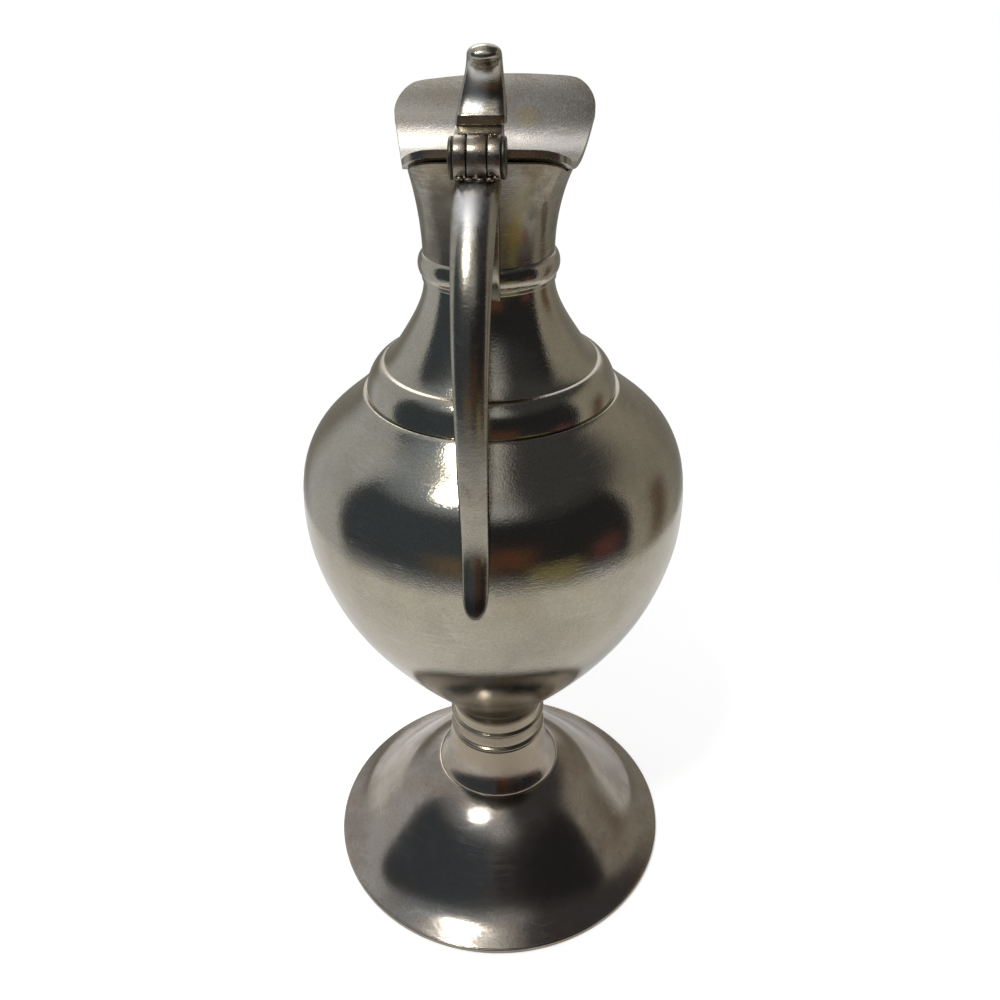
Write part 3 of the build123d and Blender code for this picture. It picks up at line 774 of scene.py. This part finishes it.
def roundEdges(bm, edges, size):
    bmesh.ops.bevel(
        bm, geom=edges, offset=size * mm, offset_type="OFFSET", segments=3, profile=0.5, affect="EDGES",
        material=-1,
    )


def liesAcross(edge):
    # whether both its ends are at the same distance from the pot's middle plane
    return abs(edge.verts[0].co.x - edge.verts[1].co.x) < 1e-6


# ---- bracket between the handle and the mouth ----

bracketPlan = {
    "side": [  # y, level
        (-13.3, 168.6), (-16.1, 168.6), (-16.1, 160.11), (-16.17, 157.48), (-16.31, 154.84),
        (-16.33, 152.2), (-15.69, 149.66), (-14.1, 147.56), (-12.45, 145.6), (-11.9, 145.6),
        (-11.6, 148.0), (-11.6, 151.4), (-11.7, 155.0), (-12.1, 160.0), (-12.7, 165.0),
    ],
    "width": 5.8,
    "edge": 0.45,
}


def makeBracket(plan):
    bm = bmesh.new()
    addPlate(bm, plan["side"], plan["width"] / 2)
    bmesh.ops.recalc_face_normals(bm, faces=bm.faces)
    roundEdges(bm, [e for e in bm.edges if len(e.link_faces) == 2 and liesAcross(e)], plan["edge"])
    shapeToPiece(
        bm, "handleBracket", "vessel", "handle_metal", ["handle_bracket"], smooth=0, angle=creaseAngle
    )


makeBracket(bracketPlan)
print("bracket made")


# ---- hinge ----

hingePlan = {
    "pin": (-18.8, 171.124),
    "barrel": 3.6,
    "middle": (-1.55, 1.55),
    "left": (-3.65, -1.65),
    "right": (1.65, 3.65),
    "capRadius": 3.25,
    "cap": 0.85,
    "edge": 0.22,
    "capEdge": 0.4,
    "strap": [  # y, level, of the plate under the thumbpiece
        (-18.3, 174.0), (-16.28, 175.37), (-11.48, 175.37), (-5.48, 167.97), (-5.48, 167.58),
        (-9.0, 168.75), (-13.0, 170.73), (-16.2, 173.0),
    ],
    # drops of solder left by the joining: x, y, level, size, how long across
    "seamDrops": [
        (-2.7, -21.75, 168.75, 0.42, 1.6), (-1.2, -21.95, 168.6, 0.4, 1.9), (0.5, -22.0, 168.55, 0.46, 1.5),
        (2.0, -21.9, 168.6, 0.55, 1.2), (2.9, -21.6, 168.8, 0.38, 1.3), (-0.4, -22.25, 170.4, 0.24, 1.0),
        (0.5, -21.95, 172.7, 0.22, 1.2),
    ],
    "knuckleDrops": [
        (2.1, -19.4, 174.6, 0.26, 1.0), (2.8, -19.25, 174.62, 0.3, 1.3), (3.2, -19.05, 174.6, 0.2, 1.0),
    ],
    "dropDepths": (0.8, 0.7),  # along y and up, as shares of the size
}


def addDisc(bm, plan, start, end, radius, edge):
    y, level = plan["pin"]
    turn = Matrix.Rotation(math.radians(90), 4, "Y")
    place = Matrix.Translation(Vector(((start + end) / 2, y, level)) * mm) @ turn
    made = bmesh.ops.create_cone(
        bm, cap_ends=True, cap_tris=False, segments=64, radius1=radius * mm, radius2=radius * mm,
        depth=(end - start) * mm, matrix=place,
    )
    rims = dict.fromkeys(e for v in made["verts"] for e in v.link_edges if liesAcross(e))
    roundEdges(bm, list(rims), edge)


def makeHinge(plan):
    bm = bmesh.new()
    addDisc(bm, plan, *plan["middle"], plan["barrel"], plan["edge"])
    shapeToPiece(bm, "middleKnuckle", "vessel", "hinge_metal", ["hinge_knuckle"], smooth=0, angle=creaseAngle)
    bm = bmesh.new()
    addDisc(bm, plan, *plan["left"], plan["barrel"], plan["edge"])
    addDisc(bm, plan, *plan["right"], plan["barrel"], plan["edge"])
    addPlate(bm, plan["strap"], plan["right"][1])
    shapeToPiece(bm, "lidStrap", "lid", "hinge_metal", ["lid_hinge_strap"], smooth=0, angle=creaseAngle)
    for name, node, start, end in (
        ("leftCap", "hinge_cap_left", plan["left"][0] - plan["cap"], plan["left"][0]),
        ("rightCap", "hinge_cap_right", plan["right"][1], plan["right"][1] + plan["cap"]),
    ):
        bm = bmesh.new()
        addDisc(bm, plan, start, end, plan["capRadius"], plan["capEdge"])
        shapeToPiece(bm, name, "lid", "hinge_metal", [node], smooth=0, angle=creaseAngle)


def makeDrops(name, kind, body):
    bm = bmesh.new()
    for x, y, level, size, length in hingePlan[kind]:
        stretch = Matrix.Diagonal((length, *hingePlan["dropDepths"], 1))
        place = Matrix.Translation(Vector((x, y, level)) * mm) @ stretch
        bmesh.ops.create_icosphere(bm, subdivisions=3, radius=size * mm, matrix=place)
    shapeToPiece(bm, name, body, "hinge_metal", smooth=0)


makeHinge(hingePlan)
makeDrops("solderSeam", "seamDrops", "vessel")
makeDrops("solderDrops", "knuckleDrops", "lid")
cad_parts["hinge_pin"].data.materials.clear()
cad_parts["hinge_pin"].data.materials.append(finish["hinge_metal"])
print("hinge made")


# ---- thumbpiece ----

thumbPlan = {
    "rings": [  # back point, front point, half width, squareness
        ((-16.28, 175.37), (-11.48, 175.37), 4.05, 0.35),
        ((-16.28, 175.5), (-11.5, 175.5), 4.05, 0.35),
        ((-16.28, 176.7), (-11.55, 176.6), 4.05, 0.35),
        ((-16.28, 176.92), (-11.56, 176.9), 4.02, 0.4),
        ((-16.0, 177.2), (-11.6, 177.3), 3.95, 0.45),
        ((-15.42, 178.0), (-11.65, 178.45), 3.8, 0.55),
        ((-14.75, 179.3), (-11.75, 180.0), 3.55, 0.65),
        ((-14.5, 180.6), (-11.9, 181.5), 3.3, 0.7),
        ((-14.63, 181.95), (-12.15, 183.0), 3.05, 0.75),
        ((-15.1, 183.2), (-12.7, 184.5), 2.85, 0.8),
        ((-15.9, 184.0), (-13.7, 185.9), 2.75, 0.85),
        ((-16.7, 184.3), (-15.1, 186.9), 2.7, 0.9),
        ((-17.5, 184.5), (-16.6, 187.15), 2.5, 0.95),
        ((-18.2, 184.9), (-17.7, 186.6), 1.9, 1.0),
        ((-18.5, 185.25), (-18.3, 186.0), 1.0, 1.0),
    ],
    "around": 20,
    "shift": 0.25,
    "lean": 0.08,  # to the right, in each unit of height
}


def makeThumbpiece(plan):
    bm = bmesh.new()
    loftRings(bm, plan["rings"], plan["around"])
    for v in bm.verts:
        v.co.x += plan["shift"] * mm + plan["lean"] * (v.co.z - plan["rings"][0][0][1] * mm)
    shapeToPiece(bm, "thumbLever", "lid", "handle_metal", ["thumbpiece"])


makeThumbpiece(thumbPlan)
print("thumbpiece made")


# ---- floor and light ----

studio = {
    "floor": 0.2,
    "floorTint": (0.82, 0.81, 0.79),
    "floorGlow": 0.62,
    "floorMirrored": 0.24,
    "lampAim": 0.1,  # the height that the lamps look at
    "frontLamp": {
        "azimuth": -33, "elevation": 59, "distance": 1.1,
        "size": 0.22, "power": 4.2, "tint": (1.0, 0.99, 0.97),
    },
    "backLamp": {
        "azimuth": -158, "elevation": 46, "distance": 1.3,
        "size": 0.6, "power": 2.0, "tint": (1.0, 0.99, 0.98),
    },
    "wall": (0.6, 0.62, 0.66),
    # what stands round the pot, by direction in degrees: azimuth 0 is behind the camera, 90 is +X
    "patches": [  # azimuth, elevation, half sizes, softness of each, colour
        ((115, 0), (34, 200), (10, 1), (0.42, 0.4, 0.36)),
        ((0, 90), (200, 30), (1, 12), (0.42, 0.42, 0.43)),
        ((-80, 72), (95, 7), (35, 7), (0.9, 0.9, 0.9)),
        ((100, 58), (80, 28), (16, 11), (0.07, 0.07, 0.078)),
        ((122, 10), (30, 26), (12, 12), (0.36, 0.34, 0.3)),
        ((-174, 34), (28, 20), (10, 14), (1.2, 1.2, 1.25)),
        ((180, -8), (48, 20), (10, 8), (0.26, 0.25, 0.22)),
        ((-50, 50), (40, 9), (16, 9), (0.3, 0.36, 0.44)),
        ((-47, 7.5), (44, 35.5), (1.5, 10), (0.07, 0.085, 0.105)),
        ((41.5, 6), (44.5, 34), (1.5, 9), (0.03, 0.03, 0.034)),
        ((-15, -14), (17, 8), (9, 6), (0.18, 0.14, 0.1)),
        ((13, -6), (12, 10), (8, 7), (0.13, 0.062, 0.04)),
        ((38, -22), (14, 6), (7, 5), (0.28, 0.25, 0.12)),
        ((68, -14), (8, 7), (5, 5), (0.14, 0.06, 0.06)),
        ((111, -12), (8, 16), (6, 9), (0.15, 0.11, 0.08)),
    ],
}


def makeFloor():
    bm = bmesh.new()
    bmesh.ops.create_circle(bm, cap_ends=True, radius=studio["floor"], segments=96)
    mesh = bpy.data.meshes.new("paleFloor")
    bm.to_mesh(mesh)
    bm.free()
    floor = bpy.data.objects.new("paleFloor", mesh)
    scene.collection.objects.link(floor)
    paint = bpy.data.materials.new("paleFloor")
    paint.use_nodes = True
    tree = paint.node_tree
    surface = tree.nodes["Principled BSDF"]
    surface.inputs["Base Color"].default_value = (*studio["floorTint"], 1)
    surface.inputs["Roughness"].default_value = 0.9
    surface.inputs["Emission Color"].default_value = (1, 1, 1, 1)
    path = addNode(tree, "ShaderNodeLightPath", (-900, -200))
    glossy, through = path.outputs["Is Glossy Ray"], path.outputs["Is Transmission Ray"]
    mirrored = reckon(tree, (-700, -300), "MAXIMUM", glossy, through)
    mirrored = reckon(tree, (-500, -300), "MULTIPLY", mirrored, studio["floorMirrored"])
    seen = path.outputs["Is Camera Ray"]
    glow = reckon(tree, (-300, -200), "MULTIPLY_ADD", seen, studio["floorGlow"], mirrored)
    tree.links.new(glow, surface.inputs["Emission Strength"])
    mesh.materials.append(paint)


def makeLamp(name, plan):
    data = bpy.data.lights.new(name, "AREA")
    data.shape = "DISK"
    data.size = plan["size"]
    data.energy = plan["power"]
    data.color = plan["tint"]
    lamp = bpy.data.objects.new(name, data)
    azimuth, elevation = math.radians(plan["azimuth"]), math.radians(plan["elevation"])
    flat = math.cos(elevation)
    away = Vector((flat * math.sin(azimuth), -flat * math.cos(azimuth), math.sin(elevation)))
    lamp.location = Vector((0, 0, studio["lampAim"])) + away * plan["distance"]
    lamp.rotation_euler = (-away).to_track_quat("-Z", "Y").to_euler()
    lamp.visible_camera = False
    scene.collection.objects.link(lamp)


patchSockets = (
    "Middle Azimuth", "Middle Elevation", "Half Width", "Half Height", "Side Softness", "End Softness",
)


def patchGroup():
    # a soft-edged rectangle of directions
    group, given, out = startGroup(
        "patchOfRoom",
        [(name, "number") for name in ("Azimuth", "Elevation", *patchSockets)],
        [("Mask", "number")],
    )
    masks = []
    for k, (angle, middle, half, soft) in enumerate((
        ("Azimuth", "Middle Azimuth", "Half Width", "Side Softness"),
        ("Elevation", "Middle Elevation", "Half Height", "End Softness"),
    )):
        row = -260 * k
        offset = reckon(group, (-700, row), "SUBTRACT", given[angle], given[middle])
        around = reckon(group, (-540, row), "WRAP", offset, 180, -180)
        away = reckon(group, (-380, row), "ABSOLUTE", around)
        low = reckon(group, (-380, row - 120), "SUBTRACT", given[half], given[soft])
        high = reckon(group, (-220, row - 120), "ADD", given[half], given[soft])
        masks.append(fade(group, (-40, row), away, low, high, 1.0, 0.0))
    group.links.new(reckon(group, (200, 0), "MULTIPLY", *masks), out["Mask"])
    return group


def makeRoom(plan):
    world = bpy.data.worlds.new("room")
    scene.world = world
    world.use_nodes = True
    tree = world.node_tree
    place = addNode(tree, "ShaderNodeTexCoord", (-1500, 0))
    split = addNode(tree, "ShaderNodeSeparateXYZ", (-1320, 0))
    tree.links.new(place.outputs["Generated"], split.inputs[0])
    flipped = reckon(tree, (-1160, 0), "MULTIPLY", split.outputs["Y"], -1)
    bearing = reckon(tree, (-1000, 0), "ARCTAN2", split.outputs["X"], flipped)
    rise = reckon(tree, (-1000, -200), "ARCSINE", split.outputs["Z"])
    azimuth = reckon(tree, (-840, 0), "DEGREES", bearing)
    elevation = reckon(tree, (-840, -200), "DEGREES", rise)
    group = patchGroup()
    colour = (*plan["wall"], 1)
    for k, (middle, half, soft, tint) in enumerate(plan["patches"]):
        patch = addNode(tree, "ShaderNodeGroup", (340 * k - 600, -400), node_tree=group)
        for name, value in zip(patchSockets, (*middle, *half, *soft)):
            patch.inputs[name].default_value = value
        tree.links.new(azimuth, patch.inputs["Azimuth"])
        tree.links.new(elevation, patch.inputs["Elevation"])
        colour = blendColour(tree, (340 * k - 440, 0), patch.outputs["Mask"], colour, (*tint, 1))
    # the camera sees plain white round the pot
    path = addNode(tree, "ShaderNodeLightPath", (-600, 500))
    last = (340 * len(plan["patches"]) - 440, 0)
    colour = blendColour(tree, last, path.outputs["Is Camera Ray"], colour, (1, 1, 1, 1))
    tree.links.new(colour, tree.nodes["Background"].inputs["Color"])


makeFloor()
makeLamp("frontLamp", studio["frontLamp"])
makeLamp("backLamp", studio["backLamp"])
makeRoom(studio)
print("floor and light set")
